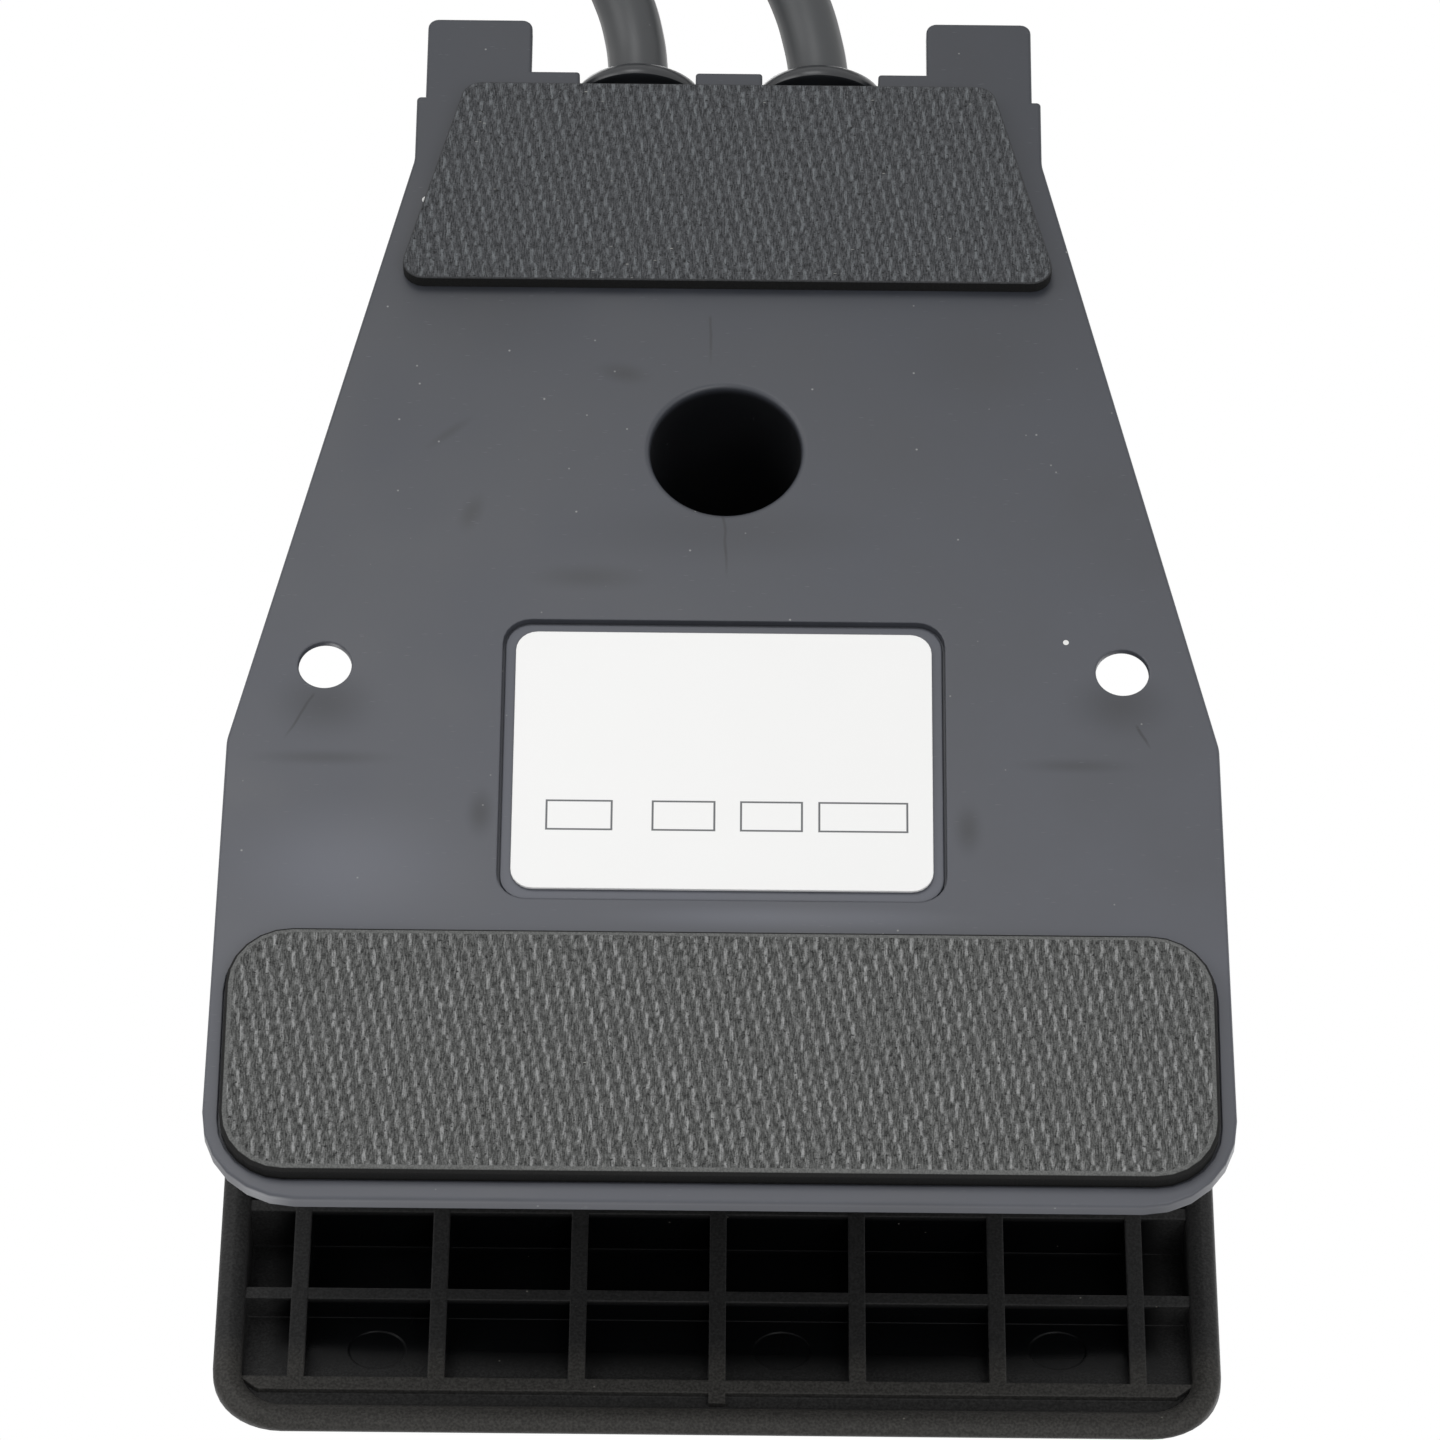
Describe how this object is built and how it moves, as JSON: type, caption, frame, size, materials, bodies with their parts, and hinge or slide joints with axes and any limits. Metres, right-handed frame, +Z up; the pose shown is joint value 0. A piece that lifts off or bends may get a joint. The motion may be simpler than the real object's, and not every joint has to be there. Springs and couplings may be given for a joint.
{
  "type": "foot speed control pedal",
  "caption": "Wedge-shaped foot speed control pedal with a hinged ribbed treadle, rubber pads, an enclosed speed control, a mains cord with plug and a motor lead with socket.",
  "frame": {"origin": "on the floor plane under the middle of the pedal, halfway between the treadle's lip and the rear of the hinge posts, cords left out", "axes": "+Z up from the rubber pads; -Y towards the wide toe end of the treadle; +Y towards the hinge and the cords; +X to the right seen from the toe end"},
  "size_m": [0.1203, 0.4197, 0.072],
  "materials": {
    "base_grey": "satin moulded",
    "cover_black": "satin moulded",
    "treadle_black": "glossy inside, satin outside",
    "pad_rubber": "matt, cloth-moulded",
    "cord_rubber": "semi-gloss jacket",
    "label_white": "blank printed-label stock",
    "steel": "plated wire and screws",
    "brass": "plain",
    "aluminium": "extruded",
    "board_green": "coated board",
    "choke_winding": "enamelled winding",
    "film_yellow": "moulded case",
    "wire_black": "insulated lead",
    "wire_white": "insulated lead",
    "wire_green": "insulated lead",
    "nylon": "natural nylon"
  },
  "bodies": {
    "base": {"base_plate": "base_grey", "control_cover": "cover_black", "front_pad": "pad_rubber", "rear_pad": "pad_rubber", "label_plate": "label_white", "cover_screw_front_right": "steel", "cover_screw_front_left": "steel", "cover_screw_rear_right": "steel", "cover_screw_rear_left": "steel", "return_spring": "steel", "hinge_pin_right": "steel", "hinge_pin_left": "steel", "plunger_spring": "steel", "potentiometer": "cover_black", "bump_stop_right": "pad_rubber", "bump_stop_left": "pad_rubber", "circuit_board": "board_green", "heat_sink": "aluminium", "triac": "cover_black", "film_capacitor": "film_yellow", "choke": "choke_winding", "terminal_block": "nylon", "terminal_screw_1": "brass", "terminal_screw_2": "brass", "terminal_screw_3": "brass", "supply_cord_bushing": "cord_rubber", "motor_cord_bushing": "cord_rubber", "cord_clamp": "cover_black", "cord_clamp_screw": "steel", "line_lead": "wire_black", "motor_lead": "wire_white", "board_lead": "wire_black", "ground_lead": "wire_green", "supply_cord": "cord_rubber", "motor_cord": "cord_rubber", "supply_cord_tail": "cord_rubber", "motor_cord_tail": "cord_rubber", "supply_cord_coil": "cord_rubber", "motor_cord_coil": "cord_rubber", "supply_coil_tie": "cover_black", "motor_coil_tie": "cover_black", "plug_body": "cord_rubber", "plug_blade_left": "brass", "plug_blade_right": "brass", "plug_ground_pin": "brass", "socket_body": "cord_rubber", "socket_contact_left": "brass", "socket_contact_right": "brass"},
    "treadle": {"treadle": "treadle_black", "tread_mat": "pad_rubber"},
    "plunger": {"plunger": "nylon", "wiper_arm": "brass"}
  },
  "joints": [
    {"name": "treadle_hinge", "type": "hinge", "parent": "base", "child": "treadle", "pos_m": [0, 0.0831, 0.0521], "axis": [1, 0, 0], "range_deg": [0, 8], "stiffness_Nm_per_rad": 6, "springref_deg": -11.46, "deforming": ["return_spring"]},
    {"name": "plunger_slide", "type": "slide", "parent": "base", "child": "plunger", "axis": [0, 0, -1], "range_m": [0, 0.015], "stiffness_N_per_m": 60, "springref_m": -0.01, "deforming": ["plunger_spring"]}
  ],
  "couplings": [
    {"joint": "plunger_slide", "follows": "treadle_hinge", "m_per_rad": 0.1071}
  ]
}
